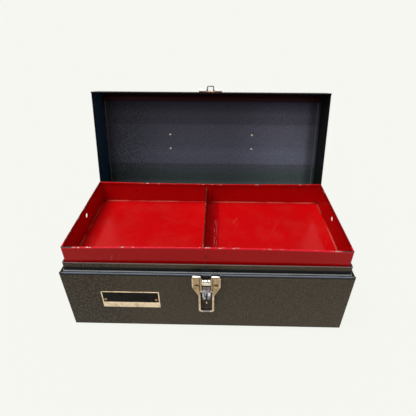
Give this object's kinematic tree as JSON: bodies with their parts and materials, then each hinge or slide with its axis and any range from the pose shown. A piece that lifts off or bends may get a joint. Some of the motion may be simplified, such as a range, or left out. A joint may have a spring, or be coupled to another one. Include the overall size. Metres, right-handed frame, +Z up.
{
  "type": "toolbox",
  "caption": "Sheet-steel hip-lidded toolbox, open, with a lift-out tray, loose divider, rolled hinge, folding carrying handle and a draw latch with padlock staple.",
  "frame": {"origin": "middle of the flat bottom that the box stands on", "axes": "+Z up, +X to the right seen from the front, the front with the latch faces -Y, the lid hinges at +Y"},
  "size_m": [0.4064, 0.2888, 0.3035],
  "materials": {
    "case_paint": "dark grey-brown hammered enamel, semi-gloss",
    "tray_paint": "bright red enamel, gloss",
    "nickel": "nickel plate, a little tarnished",
    "steel": "bright zinc-plated steel",
    "plate": "black field with a bare metal border, no lettering"
  },
  "bodies": {
    "case": {"body_wrap": "case_paint", "body_end_left": "case_paint", "body_end_right": "case_paint", "collar_frame": "case_paint", "tray_ledge_left": "case_paint", "tray_ledge_right": "case_paint", "nameplate": "plate", "nameplate_pins": "steel", "hinge_leaf_body": "case_paint", "hinge_pin": "steel", "latch_base": "nickel", "latch_base_rivets": "steel", "latch_base_pin": "steel", "latch_stud": "nickel"},
    "lid": {"lid_wrap": "case_paint", "lid_end_left": "case_paint", "lid_end_right": "case_paint", "hinge_leaf_lid": "case_paint", "strike_plate": "nickel", "padlock_staple": "nickel", "strike_rivets": "steel", "handle_bracket_left": "nickel", "handle_bracket_right": "nickel", "handle_rivets": "steel"},
    "handle": {"handle_bail": "nickel"},
    "latch_link": {"latch_link": "nickel"},
    "latch_lever": {"latch_lever": "nickel", "latch_lever_pin": "steel"},
    "tray": {"tray_pan": "tray_paint"},
    "divider": {"tray_divider": "tray_paint"}
  },
  "joints": [
    {"name": "lid_hinge", "type": "hinge", "parent": "case", "child": "lid", "pos_m": [0, 0.0952, 0.112], "axis": [-1, 0, 0], "range_deg": [-104.5, 0]},
    {"name": "handle_swing", "type": "hinge", "parent": "lid", "child": "handle", "pos_m": [0, 0.1712, 0.19068], "axis": [1, 0, 0], "range_deg": [-14.5, 165.5]},
    {"name": "latch_link_swing", "type": "hinge", "parent": "case", "child": "latch_link", "pos_m": [0, -0.0969, 0.1033], "axis": [-1, 0, 0], "range_deg": [0, 80]},
    {"name": "latch_lever_swing", "type": "hinge", "parent": "latch_link", "child": "latch_lever", "pos_m": [0, -0.0967, 0.0843], "axis": [-1, 0, 0], "range_deg": [-40, 0]},
    {"name": "tray_lift", "type": "slide", "parent": "case", "child": "tray", "axis": [0, 0, 1], "range_m": [0, 0.12]},
    {"name": "divider_lift", "type": "slide", "parent": "tray", "child": "divider", "axis": [0, 0, 1], "range_m": [0, 0.045]}
  ],
  "couplings": [
    {"joint": "latch_lever_swing", "follows": "latch_link_swing", "ratio": -0.5}
  ]
}
